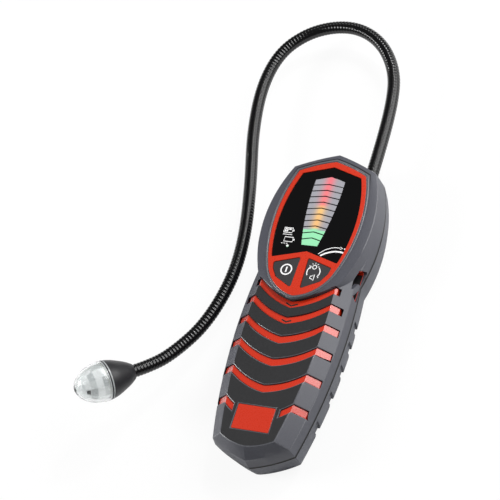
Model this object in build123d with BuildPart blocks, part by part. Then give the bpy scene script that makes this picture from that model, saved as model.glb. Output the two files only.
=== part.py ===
from build123d import *
import math
import os

os.makedirs("parts", exist_ok=True)

# Handheld gas leak detector: a clamshell body that lies on its back, a bending neck and a sensor head.
# X is to the right of the display, Y towards the neck end, Z out of the display.
# The origin is the middle of the flat back. All sizes are in millimetres.

# Body outline: full widths and stations along the length
body_length = 200.0
shoulder_width = 54.2
head_width = 70.8
waist_width = 64.8
grip_width = 68.0
foot_width = 50.8
head_end = body_length / 2
foot_end = -body_length / 2
shoulder_y = head_end - 10.0
head_y = head_end - 43.0
waist_y = head_end - 79.0
grip_y = head_end - 114.0
foot_y = foot_end + 11.0

# Heights of the body
split_z = 15.7
edge_z = 23.6
head_edge_z = 31.8
face_z = 31.0
brow_z = 33.0
back_inset = 3.0
back_round = 4.0
side_draft = 1.0
bevel_width = 9.3
foot_bevel = 6.0
head_bulge = 0.7
foot_bulge = 1.1
wall = 2.4
seal_thickness = 0.6
seal_inset = 0.35
seal_width = 1.5
notch_reach = 6.0
notch_width = 5.3
notch_depth = 1.3
notch_drop = 4.5

# Red display frame, window and keys
frame_margin = 5.6
frame_width = 55.2
frame_shoulder_width = 44.0
frame_hip_width = 43.4
frame_length = 92.1
frame_chin_half = 13.5
frame_chin_rise = 6.4
frame_border = 2.9
frame_height = 3.0
frame_proud = 0.35
pocket_ledge = 1.0
window_length = 58.2
window_top_border = 4.0
bridge_width = 3.4
divider_width = 4.6
fit_gap = 0.15
lens_flange = 0.9
lens_flange_height = 0.8
lens_drop = 0.5
key_gap = 0.2
key_flange = 0.7
key_flange_height = 1.1
key_drop = 0.25
key_round = 0.35
key_reach = 6.6
key_dome_top = 2.0
key_dome_foot = 3.6
key_dome_wall = 0.5
frame_round = 0.5
run_gap = 0.3

# Bar graph
bar_count = 11
bar_pitch = 4.1
bar_gap = 0.55
bar_top_half = 9.5
bar_middle_half = 8.7
bar_low_half = 5.0
bar_peak = 1.4
bar_top_drop = 9.4
guide_height = 1.7
guide_rim = 1.2
bar_clear = 0.05
lamp_radius = 0.85

# Grip slots and the red inlay in them
slot_count = 6
slot_width = 4.8
slot_rise = 12.3
slot_rise_change = -0.5
slot_sag = 1.9
slot_fall = 0.3
slot_lip = 0.5
slot_first_short = 4.6
slot_short_share = 0.33
slot_first_gap = 1.8
slot_pitch = 10.5
slot_pitch_growth = 2.1
inlay_depth = 0.9
inlay_bar = 3.0
inlay_skin = 1.5
inlay_side_gap = 0.25
inlay_end_gap = 0.7
inlay_short_count = 2
inlay_short_gap = 1.3

# Badge plate
badge_width = 23.4
badge_length = 15.2
badge_depth = 0.9
badge_foot_gap = 17.0
badge_gap = 0.25
badge_corner = 0.6
badge_sunk = 0.2

# Strap eye in the right side
eye_length = 21.4
eye_height = 7.4
eye_depth = 9.0
eye_floor = 1.2
eye_shell = 1.3
eye_slant = 2.8
eye_corner = 1.2
eye_bar_width = 2.0
eye_bar_depth = 2.6
eye_bar_inset = 0.3
eye_bar_lean = 8.0
liner_wall = 0.7
liner_start = 3.6
eye_y = waist_y - 0.6

# Screws, bosses and boards
boss_radius = 3.3
screw_radius = 1.2
screw_head_radius = 2.4
screw_head_height = 1.8
screw_well = 3.0
board_thickness = 1.6
board_side_gap = 5.0
board_half = head_width / 2 - board_side_gap
board_eye_gap = 0.6
board_step_gap = 6.6
board_step = 5.0
board_top_gap = 14.0
board_length = 78.0
board_drop = 4.8
board_boss_radius = 2.1
led_size = 2.0
led_height = 1.1
buzzer_radius = 6.0
buzzer_height = 5.0
chip_size = 9.0
chip_height = 1.4

# Batteries
cell_radius = 7.25
cell_length = 50.5
cell_nub = 1.0
cell_count = 3
cell_spacing = 15.1
cell_lift = 0.4
spring_length = 5.6
spring_radius = 4.6
spring_wire = 0.6
contact_plate = 0.4
bay_foot_gap = 24.5
bay_wall = 1.8
bay_side_gap = 0.5
bay_height = 11.0
door_thickness = 1.9
door_gap = 0.2
door_ledge = 0.8
door_tab_width = 14.0
door_tab_length = 6.4
door_post_high = 11.0
door_screw_low = 0.3
door_screw_seat = 1.1
door_groove_width = 1.6
door_groove_depth = 0.5
door_groove_pitch = 8.0
door_groove_count = 4

# Neck and sensor head
neck_radius = 4.0
neck_x = 16.6
ferrule_wall = 1.4
ferrule_length = 12.0
neck_boss_wall = 2.6
flex_length = 26.0
joint_gap = 0.3
root_station = 36.0
crown_station = 146.0
tip_station = 392.0
probe_rim_radius = 11.9
probe_length = 16.6
probe_wall = 1.5
probe_ring_height = 2.4
dome_radius = 12.2
dome_length = 18.4
dome_wall = 1.3
dome_inlet_radius = 1.6
dome_stop = 76.0
probe_grip = 5.0
probe_lip = 0.7
inlet_depth = 1.0
sensor_radius = 4.1
sensor_height = 6.0
sensor_board_thickness = 1.2
reflector_thickness = 0.6
lamp_count = 4

# Unit directions in which the outline points move when the outline is drawn smaller
end_slant = 1.06
corner_in = 0.95
corner_along = 0.75
tip_slant = 1.1


def inward(points, depth):
    """Body outline drawn smaller by depth: end points move along Y, the others towards the middle."""
    top, shoulder, side, waist, grip, foot, bottom = points
    return [
        (0, top[1] - end_slant * depth),
        (shoulder[0] - corner_in * depth, shoulder[1] - corner_along * depth),
        (side[0] - depth, side[1]),
        (waist[0] - depth, waist[1]),
        (grip[0] - depth, grip[1]),
        (foot[0] - corner_in * depth, foot[1] + corner_along * depth),
        (0, bottom[1] + end_slant * depth),
    ]


def bulged(start, end, rise):
    """Middle of the run from start to end, moved out from the body by rise."""
    run_x = end[0] - start[0]
    run_y = end[1] - start[1]
    share = rise / math.hypot(run_x, run_y)
    return (start[0] + end[0]) / 2 - run_y * share, (start[1] + end[1]) / 2 + run_x * share


def body_face(points, height, depth=0.0):
    """Closed face of a body outline at a height, drawn smaller by depth."""
    top, shoulder, side, waist, grip, foot, bottom = inward(points, depth)
    with BuildSketch(Plane.XY.offset(height)) as face:
        with BuildLine():
            ThreePointArc(top, bulged(top, shoulder, head_bulge), shoulder)
            ThreePointArc(shoulder, side, waist)
            ThreePointArc(waist, grip, foot)
            ThreePointArc(foot, bulged(foot, bottom, foot_bulge), bottom)
            mirror(about=Plane.YZ)
        make_face()
    return face.sketch


def shield_face(points, height, depth=0.0):
    """Closed face of the pointed head outline at a height, drawn smaller by depth."""
    top, shoulder, side, hip, chin, tip = points
    top = (0, top[1] - end_slant * depth)
    shoulder = (shoulder[0] - corner_in * depth, shoulder[1] - corner_along * depth)
    hip = (hip[0] - corner_in * depth, hip[1] + corner_along * depth / 2)
    chin = (chin[0] - corner_along * depth, chin[1] + corner_along * depth)
    with BuildSketch(Plane.XY.offset(height)) as face:
        with BuildLine():
            ThreePointArc(top, bulged(top, shoulder, head_bulge), shoulder)
            ThreePointArc(shoulder, (side[0] - depth, side[1]), hip)
            ThreePointArc(hip, chin, (0, tip[1] + tip_slant * depth))
            mirror(about=Plane.YZ)
        make_face()
    return face.sketch


def arc_half_width(points, y):
    """Half width at y of the grip arc of a body outline, from waist through grip to foot."""
    (x1, y1), (x2, y2), (x3, y3) = points[3:6]
    a = x1 * (y2 - y3) - y1 * (x2 - x3) + x2 * y3 - x3 * y2
    b = (x1**2 + y1**2) * (y3 - y2) + (x2**2 + y2**2) * (y1 - y3) + (x3**2 + y3**2) * (y2 - y1)
    c = (x1**2 + y1**2) * (x2 - x3) + (x2**2 + y2**2) * (x3 - x1) + (x3**2 + y3**2) * (x1 - x2)
    centre_x = -b / (2 * a)
    centre_y = -c / (2 * a)
    radius = math.hypot(x1 - centre_x, y1 - centre_y)
    return centre_x + math.sqrt(radius**2 - (y - centre_y) ** 2)


split_outline = [
    (0, head_end),
    (shoulder_width / 2, shoulder_y),
    (head_width / 2, head_y),
    (waist_width / 2, waist_y),
    (grip_width / 2, grip_y),
    (foot_width / 2, foot_y),
    (0, foot_end),
]
edge_outline = inward(split_outline, side_draft)
face_outline = [
    (0, head_end - foot_bevel),
    (shoulder_width / 2 - foot_bevel / 2, shoulder_y - foot_bevel / 2),
    (head_width / 2 - bevel_width, head_y),
    (waist_width / 2 - bevel_width, waist_y),
    (grip_width / 2 - bevel_width, grip_y),
    (foot_width / 2 - bevel_width + side_draft, foot_y + foot_bevel / 4),
    (0, foot_end + foot_bevel + side_draft),
]

# The head stands proud of the grip: its outline follows the red frame
frame_top = head_end - frame_margin
frame_tip = frame_top - frame_length
frame_outline = [
    (0, frame_top),
    (frame_shoulder_width / 2, frame_top - 8.2),
    (frame_width / 2, frame_top - 37.6),
    (frame_hip_width / 2, frame_top - 73.6),
    (frame_chin_half, frame_tip + frame_chin_rise),
    (0, frame_tip),
]
brow_outline = [
    (0, frame_top + 1.2),
    (frame_shoulder_width / 2 + 1.0, frame_top - 7.4),
    (frame_width / 2 + 1.4, frame_top - 37.6),
    (frame_hip_width / 2 + 1.2, frame_top - 74.2),
    (frame_chin_half + 1.0, frame_tip + frame_chin_rise - 1.0),
    (0, frame_tip - 1.4),
]
head_edge_outline = [
    (0, head_end),
    (shoulder_width / 2 - side_draft / 2, shoulder_y - side_draft / 2),
    (head_width / 2 - side_draft / 2, head_y),
    (waist_width / 2 - 3.4, waist_y),
    (frame_chin_half + 4.0, frame_tip + frame_chin_rise - 3.6),
    (0, frame_tip - 3.2),
]
head_split_outline = [
    (0, head_end),
    (shoulder_width / 2, shoulder_y),
    (head_width / 2, head_y),
    (waist_width / 2 - 1.0, waist_y),
    (frame_chin_half + 5.0, frame_tip + frame_chin_rise - 3.6),
    (0, frame_tip - 3.2),
]
front_low = split_z + seal_thickness / 2
rear_high = split_z - seal_thickness / 2

# Inner corners of the bevelled wall, per millimetre of wall
edge_share = 0.55
face_share = 0.29


def front_form(depth):
    """Solid of the front half, drawn smaller by depth on every side but the split."""
    with BuildPart() as form:
        loft(
            sections=[
                body_face(split_outline, front_low, depth),
                body_face(edge_outline, edge_z - edge_share * depth, depth),
                body_face(face_outline, face_z - depth, face_share * depth),
            ],
            ruled=True,
        )
    return form.part


def head_form(depth, top_height):
    """Solid of the raised head, drawn smaller by depth, up to top_height."""
    with BuildPart() as form:
        loft(
            sections=[
                shield_face(head_split_outline, front_low, depth),
                shield_face(head_edge_outline, head_edge_z - depth, depth),
                shield_face(brow_outline, top_height, face_share * depth),
            ],
            ruled=True,
        )
    return form.part


def rear_form(depth):
    """Solid of the rear half, drawn smaller by depth on every side but the split."""
    with BuildPart() as form:
        loft(
            sections=[
                body_face(split_outline, rear_high, depth),
                body_face(split_outline, back_round, back_inset / 2 + depth),
                body_face(split_outline, depth, back_inset + depth / 2),
            ],
            ruled=True,
        )
    return form.part


# Slots as apex station and rise: each one further from the next towards the foot
slot_floor_z = edge_z - wall - 0.4
slots = []
slot_y = frame_tip - slot_first_gap
for index in range(slot_count):
    slots.append((slot_y, slot_rise + slot_rise_change * index))
    slot_y -= slot_pitch + slot_pitch_growth * index


def slot_end_y(slot):
    """Station where the upper edge of a slot runs out over the bevel."""
    apex_y, rise = slot
    return apex_y + rise - slot_fall


def chevron_solid(slot, side_gap, end_gap, short, inner_half=0.0):
    """Upright prism of one slot, smaller by its gaps and short; inner_half leaves the middle out."""
    apex_y, rise = slot
    kink_x = arc_half_width(face_outline, min(apex_y + rise, waist_y))
    slot_end_x = arc_half_width(edge_outline, slot_end_y(slot)) - slot_lip
    end_x = slot_end_x - end_gap - short
    end_rise = rise - slot_fall * (end_x - kink_x) / (slot_end_x - kink_x)
    high = apex_y - side_gap
    low = apex_y - slot_width + side_gap
    with BuildPart() as prism:
        with BuildSketch(Plane.XY.offset(slot_floor_z)):
            with BuildLine():
                Line((0, low), (0, high))
                ThreePointArc((0, high), (kink_x / 2, high + rise / 2 - slot_sag), (kink_x, high + rise))
                Line((kink_x, high + rise), (end_x, high + end_rise))
                Line((end_x, high + end_rise), (end_x, low + end_rise))
                Line((end_x, low + end_rise), (kink_x, low + rise))
                ThreePointArc((kink_x, low + rise), (kink_x / 2, low + rise / 2 - slot_sag), (0, low))
            make_face()
            mirror(about=Plane.YZ)
            if inner_half > 0:
                Rectangle(2 * inner_half, body_length, mode=Mode.SUBTRACT)
        extrude(amount=2 * face_z)
    return prism.part


badge_y = foot_end + badge_foot_gap + badge_length / 2
badge_half_clear = badge_width / 2 + 2.8


def chevrons(side_gap, end_gap):
    """The prisms of all the slots; the last one is parted by the badge."""
    solids = []
    for number, slot in enumerate(slots):
        inner_half = badge_half_clear + side_gap if number == slot_count - 1 else 0.0
        short = slot_first_short * slot_short_share**number
        if number < inlay_short_count and end_gap > 0:
            short += inlay_short_gap
        solids.append(chevron_solid(slot, side_gap, end_gap, short, inner_half))
    return solids


# Display stack, from the frame down to the board
frame_high = brow_z + frame_proud
frame_low = frame_high - frame_height
lens_high = frame_high - lens_drop
flange_low = frame_low - lens_flange_height
guide_low = flange_low - guide_height
board_high = face_z - board_drop
board_low = board_high - board_thickness
board_top_y = head_end - board_top_gap
board_low_y = board_top_y - board_length
board_step_y = eye_y + eye_length / 2 + eye_shell + board_step_gap
window_top = frame_top - window_top_border
window_low = window_top - window_length
lamp_place = (-13.6, window_low + 2.6)


def window_face(height, grow):
    """Face of the display window at a height, drawn larger by grow."""
    border = frame_border
    with BuildSketch(Plane.XY.offset(height)) as face:
        with BuildLine():
            Line((0, window_top), (frame_shoulder_width / 2 - border, window_top - 5.8))
            ThreePointArc(
                (frame_shoulder_width / 2 - border, window_top - 5.8),
                (frame_width / 2 - border, window_top - 33.0),
                (frame_hip_width / 2 - border / 5, window_low - 5.9),
            )
            Line((frame_hip_width / 2 - border / 5, window_low - 5.9), (0, window_low))
            mirror(about=Plane.YZ)
        make_face()
        fillet(face.vertices().filter_by(lambda corner: abs(corner.X) > 1), 1.0)
        offset(amount=grow, kind=Kind.INTERSECTION)
    return face.sketch


def key_face(height, side, grow):
    """Face of one key at a height, on side 1 or -1, drawn larger by grow."""
    inner = divider_width / 2
    key_top = window_low - bridge_width
    corners = [
        (inner, key_top - 0.5),
        (frame_hip_width / 2 - frame_border, key_top - 5.6),
        (frame_hip_width / 2 - frame_border - 0.9, key_top - 9.8),
        (frame_hip_width / 2 - frame_border - 4.4, key_top - 15.2),
        (inner + 0.6, frame_tip + 5.2),
    ]
    with BuildSketch(Plane.XY.offset(height)) as face:
        with BuildLine():
            Polyline([(side * x, y) for x, y in corners], close=True)
        make_face()
        fillet(face.vertices(), 1.1)
        offset(amount=grow, kind=Kind.INTERSECTION)
    return face.sketch


def bar_half(y):
    """Half width of the bar graph at y, on an arc that narrows towards the keys."""
    top_y = window_top - bar_top_drop
    low_y = top_y - bar_count * bar_pitch
    share = (top_y - y) / (top_y - low_y)
    middle_bulge = 4 * share * (1 - share) * (bar_middle_half - (bar_top_half + bar_low_half) / 2)
    return bar_top_half + share * (bar_low_half - bar_top_half) + middle_bulge


def bar_face(height, number, grow):
    """Face of one chevron-topped bar of the graph, drawn larger by grow."""
    high = window_top - bar_top_drop - number * bar_pitch
    low = high - bar_pitch + bar_gap
    peak = 2 * bar_peak if number == 0 else bar_peak
    low_peak = 0.0 if number == bar_count - 1 else bar_peak
    corners = [
        (0, high + peak),
        (bar_half(high), high),
        (bar_half(low), low),
        (0, low + low_peak),
        (-bar_half(low), low),
        (-bar_half(high), high),
    ]
    if low_peak == 0.0:
        corners.pop(3)
    with BuildSketch(Plane.XY.offset(height)) as face:
        with BuildLine():
            Polyline(corners, close=True)
        make_face()
        offset(amount=grow, kind=Kind.INTERSECTION)
    return face.sketch


# Screw places, the same for both halves
middle_boss_y = (slot_end_y(slots[1]) - slot_width + slot_end_y(slots[2])) / 2
boss_places = [
    (shoulder_width / 2 - 3.1, head_end - 24.0),
    (waist_width / 2 - 5.4, middle_boss_y),
    (foot_width / 2 - 8.6, foot_y + 4.6),
]
boss_places += [(-x, y) for x, y in boss_places]
board_place_x = board_half - board_boss_radius - fit_gap * 2
board_places = [(board_place_x, board_top_y - 22.0), (board_place_x, board_step_y + 3.0)]
board_places += [(-x, y) for x, y in board_places]
boss_head_z = screw_well + screw_head_height

neck_low_y = head_end - 18.0
neck_plane = Plane(origin=(neck_x, neck_low_y, split_z), x_dir=(1, 0, 0), z_dir=(0, 1, 0))
ferrule_radius = neck_radius + ferrule_wall

eye_x_in = arc_half_width(split_outline, min(eye_y, waist_y)) - eye_depth
eye_low_z = front_low + eye_floor
eye_high_z = eye_low_z + eye_height
eye_bar_x = arc_half_width(split_outline, min(eye_y, waist_y)) - eye_bar_inset - eye_bar_depth


def eye_prism(shrink_by, x_from, x_to):
    """Strap eye as a prism along X, drawn smaller by shrink_by and narrower towards the display."""
    half = eye_length / 2 - shrink_by
    with BuildPart() as prism:
        with BuildSketch(Plane.YZ.offset(x_from)) as profile:
            with BuildLine():
                Polyline(
                    (eye_y - half, eye_low_z + shrink_by),
                    (eye_y + half, eye_low_z + shrink_by),
                    (eye_y + half - eye_slant, eye_high_z - shrink_by),
                    (eye_y - half + eye_slant, eye_high_z - shrink_by),
                    close=True,
                )
            make_face()
            fillet(profile.vertices(), eye_corner)
        extrude(amount=x_to - x_from)
    return prism.part


def strap_bar(grow, z_foot):
    """Leaning bar across the strap eye, drawn larger by grow, from z_foot to over the eye."""
    foot_y = eye_y + eye_bar_width / 4
    head_y = foot_y - eye_bar_lean
    with BuildPart() as bar:
        with BuildSketch(Plane.YZ.offset(eye_bar_x - grow)):
            with BuildLine():
                Polyline(
                    (head_y - eye_bar_width / 3, eye_high_z + 0.8),
                    (head_y - eye_bar_width / 3, eye_high_z - eye_bar_width),
                    (foot_y - eye_bar_width / 2, z_foot),
                    (foot_y + eye_bar_width / 2, z_foot),
                    (foot_y + eye_bar_width / 4, eye_low_z + 1.4 * eye_bar_width),
                    (head_y + eye_bar_width * 0.7, eye_high_z + 0.8),
                    close=True,
                )
            make_face()
            offset(amount=grow, kind=Kind.INTERSECTION)
        extrude(amount=eye_bar_depth + 2 * grow)
        add(envelope, mode=Mode.INTERSECT)
    return bar.part


front_outer = front_form(0)
head_outer = head_form(0, brow_z)
front_inner = front_form(wall)
head_inner = head_form(wall, face_z - wall)

envelope = front_outer + head_outer
inner_space = front_inner + head_inner


def finish(builder, name):
    """Label a finished piece and write it."""
    builder.part.label = name
    export_step(builder.part, f"parts/{name}.step")
    print(name, len(builder.part.solids()), round(builder.part.volume, 1))


def post(places, radius, low, high):
    """Upright round posts at the given places."""
    with BuildPart() as posts:
        with BuildSketch(Plane.XY.offset(low)):
            with Locations(places):
                Circle(radius)
        extrude(amount=high - low)
    return posts.part


def neck_bar(radius, start, length):
    """Round bar on the axis of the neck's root, start measured from its inner end."""
    with BuildPart() as bar:
        with BuildSketch(neck_plane.offset(start)):
            Circle(radius)
        extrude(amount=length)
    return bar.part


# Front cover: grip shell and raised head, with the frame pocket, grip slots, badge seat and strap eye
with BuildPart() as front_cover:
    add(envelope)
    add(inner_space, mode=Mode.SUBTRACT)
    add(post(boss_places, boss_radius, front_low, face_z))
    add(post(board_places, board_boss_radius, board_high, face_z))
    add(neck_bar(ferrule_radius + neck_boss_wall, ferrule_length / 2, ferrule_length))
    with BuildSketch(Plane.YZ.offset(eye_x_in - eye_shell)):
        with Locations((eye_y, (front_low + eye_high_z + eye_shell) / 2)):
            Rectangle(eye_length + 2 * eye_shell, eye_high_z + eye_shell - front_low)
    extrude(amount=eye_depth - eye_shell)
    add(envelope, mode=Mode.INTERSECT)
    extrude(shield_face(frame_outline, frame_low, -fit_gap), amount=face_z, mode=Mode.SUBTRACT)
    extrude(shield_face(frame_outline, face_z - wall - 0.1, pocket_ledge), amount=face_z, mode=Mode.SUBTRACT)
    for prism in chevrons(0, 0):
        add(prism, mode=Mode.SUBTRACT)
    with BuildSketch(Plane.XY.offset(face_z - badge_depth)):
        with Locations((0, badge_y)):
            Rectangle(badge_width + 2 * badge_gap, badge_length + 2 * badge_gap)
    extrude(amount=face_z, mode=Mode.SUBTRACT)
    add(eye_prism(0, eye_x_in, head_width), mode=Mode.SUBTRACT)
    add(strap_bar(0, front_low))
    add(post(boss_places, screw_radius, front_low, front_low + boss_radius * 2), mode=Mode.SUBTRACT)
    add(post(board_places, screw_radius / 2, board_high, board_high + wall), mode=Mode.SUBTRACT)
    add(neck_bar(ferrule_radius, 0, ferrule_length - wall / 2), mode=Mode.SUBTRACT)
    add(neck_bar(neck_radius + fit_gap, 0, body_length), mode=Mode.SUBTRACT)
finish(front_cover, "front_cover")

# Rear cover: drafted tray with grip notches, battery bay, screw wells and the lower half of the neck seat
bay_low = foot_end + bay_foot_gap
bay_length = cell_length + spring_length + 2 * contact_plate
bay_high = bay_low + bay_length
bay_y = (bay_low + bay_high) / 2
door_screw_place = (0, bay_high + door_ledge + door_tab_length / 2 + 0.6)
bay_half = (cell_count - 1) * cell_spacing / 2 + cell_radius + bay_side_gap
rear_outer = rear_form(0)
back_half = grip_width / 2 - back_inset - notch_reach
with BuildPart() as notch_bars:
    for slot in slots[1:]:
        with BuildSketch(Plane.XY):
            with Locations((0, slot_end_y(slot) - slot_width / 2)):
                Rectangle(2 * head_width, notch_width)
        extrude(amount=split_z - notch_drop)
    with BuildSketch(Plane.XY):
        Rectangle(2 * back_half, body_length)
    extrude(amount=split_z, mode=Mode.SUBTRACT)
    add(rear_form(notch_depth), mode=Mode.SUBTRACT)


def bay_box(grow, low, high):
    """Upright box on the battery bay, larger by grow on every side."""
    with BuildPart() as box:
        with BuildSketch(Plane.XY.offset(low)):
            with Locations((0, bay_y)):
                Rectangle(2 * (bay_half + grow), bay_length + 2 * grow)
        extrude(amount=high - low)
    return box.part


with BuildPart() as rear_cover:
    add(rear_outer)
    add(notch_bars.part, mode=Mode.SUBTRACT)
    add(rear_form(wall), mode=Mode.SUBTRACT)
    add(post(boss_places, boss_radius, 0, rear_high))
    add(bay_box(bay_wall, 0, bay_height))
    add(post([door_screw_place], boss_radius, 0, door_post_high))
    add(neck_bar(ferrule_radius + neck_boss_wall, ferrule_length / 2, ferrule_length))
    add(rear_outer, mode=Mode.INTERSECT)
    add(bay_box(0, 0, bay_height), mode=Mode.SUBTRACT)
    add(bay_box(door_ledge, 0, door_thickness), mode=Mode.SUBTRACT)
    add(post(boss_places, screw_head_radius + run_gap, 0, boss_head_z), mode=Mode.SUBTRACT)
    add(post(boss_places, screw_radius + fit_gap, 0, split_z), mode=Mode.SUBTRACT)
    add(neck_bar(ferrule_radius, 0, ferrule_length - wall / 2), mode=Mode.SUBTRACT)
    add(neck_bar(neck_radius + fit_gap, 0, body_length), mode=Mode.SUBTRACT)
    add(post([door_screw_place], screw_radius, 0, door_post_high - wall), mode=Mode.SUBTRACT)
    with BuildSketch(Plane.XY):
        with Locations((0, bay_high + door_ledge)):
            RectangleRounded(door_tab_width, 2 * door_tab_length, screw_head_radius)
    extrude(amount=door_thickness, mode=Mode.SUBTRACT)
finish(rear_cover, "rear_cover")

# Parting seal: thin dark ring between the halves, open where the neck comes out
with BuildPart() as parting_seal:
    extrude(body_face(split_outline, rear_high, seal_inset), amount=seal_thickness)
    seal_inner = body_face(split_outline, rear_high, seal_inset + seal_width)
    extrude(seal_inner, amount=seal_thickness, mode=Mode.SUBTRACT)
    add(neck_bar(ferrule_radius, 0, ferrule_length * 2), mode=Mode.SUBTRACT)
finish(parting_seal, "parting_seal")

# Grip inlay: red skin under the cover whose ribs fill the slots
inlay_low_y = foot_end + badge_foot_gap - 2.0
inlay_high_y = slots[0][0]
skin_half = foot_width / 2 - wall - inlay_skin
with BuildPart() as skin:
    with BuildSketch(Plane.XY.offset(slot_floor_z)):
        with Locations((0, (inlay_low_y + inlay_high_y) / 2)):
            Rectangle(2 * skin_half, inlay_high_y - inlay_low_y)
    extrude(amount=face_z)
    add(front_form(wall + fit_gap), mode=Mode.INTERSECT)
    add(front_form(wall + fit_gap + inlay_skin), mode=Mode.SUBTRACT)
    add(post(boss_places, boss_radius + run_gap, front_low, face_z), mode=Mode.SUBTRACT)
with BuildPart() as grip_inlay:
    for prism in chevrons(inlay_side_gap, inlay_end_gap):
        add(prism)
    add(front_form(inlay_depth), mode=Mode.INTERSECT)
    add(front_form(inlay_depth + inlay_bar), mode=Mode.SUBTRACT)
    add(skin.part)
finish(grip_inlay, "grip_inlay")

# Strap eye liner: red lining of the pocket, cut round the strap bar
with BuildPart() as strap_liner:
    add(eye_prism(fit_gap, eye_x_in + liner_start, waist_width / 2 - seal_inset))
    add(eye_prism(liner_wall, eye_x_in, head_width), mode=Mode.SUBTRACT)
    add(strap_bar(fit_gap, front_low), mode=Mode.SUBTRACT)
    with BuildSketch(Plane.XY.offset(eye_high_z - 2 * liner_wall)):
        with Locations((eye_x_in + eye_depth / 2, eye_y)):
            Rectangle(2 * eye_depth, 2 * eye_length)
    extrude(amount=face_z, mode=Mode.SUBTRACT)
    add(envelope, mode=Mode.INTERSECT)
finish(strap_liner, "strap_liner")

# Display frame: red shield with the window and two key holes
with BuildPart() as display_frame:
    extrude(shield_face(frame_outline, frame_low), amount=frame_height)
    top_edges = display_frame.edges().group_by(Axis.Z)[-1]
    fillet(top_edges, frame_round)
    extrude(window_face(frame_low, 0), amount=2 * frame_height, mode=Mode.SUBTRACT)
    for side in (1, -1):
        extrude(key_face(frame_low, side, 0), amount=2 * frame_height, mode=Mode.SUBTRACT)
finish(display_frame, "display_frame")

# Display lens: black window with a flange under the frame and one opening for each bar
with BuildPart() as display_lens:
    extrude(window_face(frame_low, -fit_gap), amount=lens_high - frame_low)
    extrude(window_face(flange_low, lens_flange), amount=lens_flange_height)
    for number in range(bar_count):
        extrude(bar_face(flange_low, number, 0), amount=frame_height * 2, mode=Mode.SUBTRACT)
    with BuildSketch(Plane.XY.offset(flange_low)):
        with Locations(lamp_place):
            Circle(lamp_radius)
    extrude(amount=frame_height * 2, mode=Mode.SUBTRACT)
finish(display_lens, "display_lens")

# Light guide: clear plate whose bars fill the openings of the lens
with BuildPart() as bar_light_guide:
    with BuildSketch(Plane.XY.offset(guide_low)):
        with BuildLine():
            guide_top = window_top - bar_top_drop + 2 * bar_peak + guide_rim
            guide_foot = lamp_place[1] - lamp_radius - guide_rim
            Polyline(
                (bar_top_half + guide_rim, guide_top),
                (bar_top_half + guide_rim, guide_foot),
                (lamp_place[0] - lamp_radius - guide_rim, guide_foot),
                (lamp_place[0] - lamp_radius - guide_rim, lamp_place[1] + lamp_radius + guide_rim),
                (-bar_top_half - guide_rim, guide_foot + bar_count * bar_pitch / 2),
                (-bar_top_half - guide_rim, guide_top),
                close=True,
            )
        make_face()
    extrude(amount=guide_height)
    for number in range(bar_count):
        extrude(bar_face(guide_low, number, -bar_clear), amount=lens_high - guide_low)
    with BuildSketch(Plane.XY.offset(guide_low)):
        with Locations(lamp_place):
            Circle(lamp_radius - bar_clear)
    extrude(amount=lens_high - guide_low)
finish(bar_light_guide, "bar_light_guide")

# Keys with their flanges, and the rubber domes that push them back
key_flange_high = frame_low - run_gap
key_flange_low = key_flange_high - key_flange_height
key_high = frame_high - key_drop
dome_high = key_flange_low - run_gap
for side, key_name in ((-1, "power_key"), (1, "mode_key")):
    with BuildPart() as key:
        extrude(key_face(key_flange_low, side, key_flange), amount=key_flange_height)
        extrude(key_face(key_flange_low, side, -key_gap), amount=key_high - key_flange_low)
        fillet(key.edges().group_by(Axis.Z)[-1], key_round)
    finish(key, key_name)
key_x = divider_width / 2 + key_reach
key_y = window_low - bridge_width - key_reach
for side, dome_name in ((-1, "power_dome"), (1, "mode_dome")):
    with BuildPart() as dome:
        with BuildSketch(Plane.XZ.offset(-key_y)):
            with BuildLine():
                Polyline(
                    (side * key_x, board_high + key_dome_wall),
                    (side * key_x + key_dome_foot - key_dome_wall, board_high + key_dome_wall),
                    (side * key_x + key_dome_foot - key_dome_wall, board_high),
                    (side * key_x + key_dome_foot, board_high),
                    (side * key_x + key_dome_foot, board_high + key_dome_wall),
                    (side * key_x + key_dome_top, dome_high),
                    (side * key_x, dome_high),
                    close=True,
                )
            make_face()
        revolve(axis=Axis((side * key_x, key_y, 0), (0, 0, 1)))
    finish(dome, dome_name)

# Badge plate: plain red plate in its seat near the foot
with BuildPart() as badge_plate:
    with BuildSketch(Plane.XY.offset(face_z - badge_depth)):
        with Locations((0, badge_y)):
            RectangleRounded(badge_width, badge_length, badge_corner)
    extrude(amount=badge_depth - badge_sunk)
    fillet(badge_plate.edges().group_by(Axis.Z)[-1], badge_sunk)
finish(badge_plate, "badge_plate")

# Main board on its four bosses, narrow beside the strap eye
board_neck_half = eye_x_in - eye_shell - board_eye_gap
board_corners = [
    (bar_top_half + 3.5, board_top_y),
    (bar_top_half + 3.5, board_top_y - 6.0),
    (bar_top_half + 8.0, board_top_y - 16.0),
    (board_half, board_top_y - 20.0),
    (board_half, board_step_y),
    (board_neck_half, board_step_y - board_step),
    (board_neck_half, board_low_y),
]
with BuildPart() as main_board:
    with BuildSketch(Plane.XY.offset(board_low)):
        with BuildLine():
            Polyline(board_corners + [(-x, y) for x, y in reversed(board_corners)], close=True)
        make_face()
    extrude(amount=board_thickness)
    add(post(board_places, screw_radius, board_low, board_high), mode=Mode.SUBTRACT)
finish(main_board, "main_board")

# Board screws, one node of four
with BuildPart() as board_screws:
    add(post(board_places, board_boss_radius, board_low - screw_head_height / 2, board_low))
    add(post(board_places, screw_radius / 2, board_low, board_high + wall / 2))
finish(board_screws, "board_screws")

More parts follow.
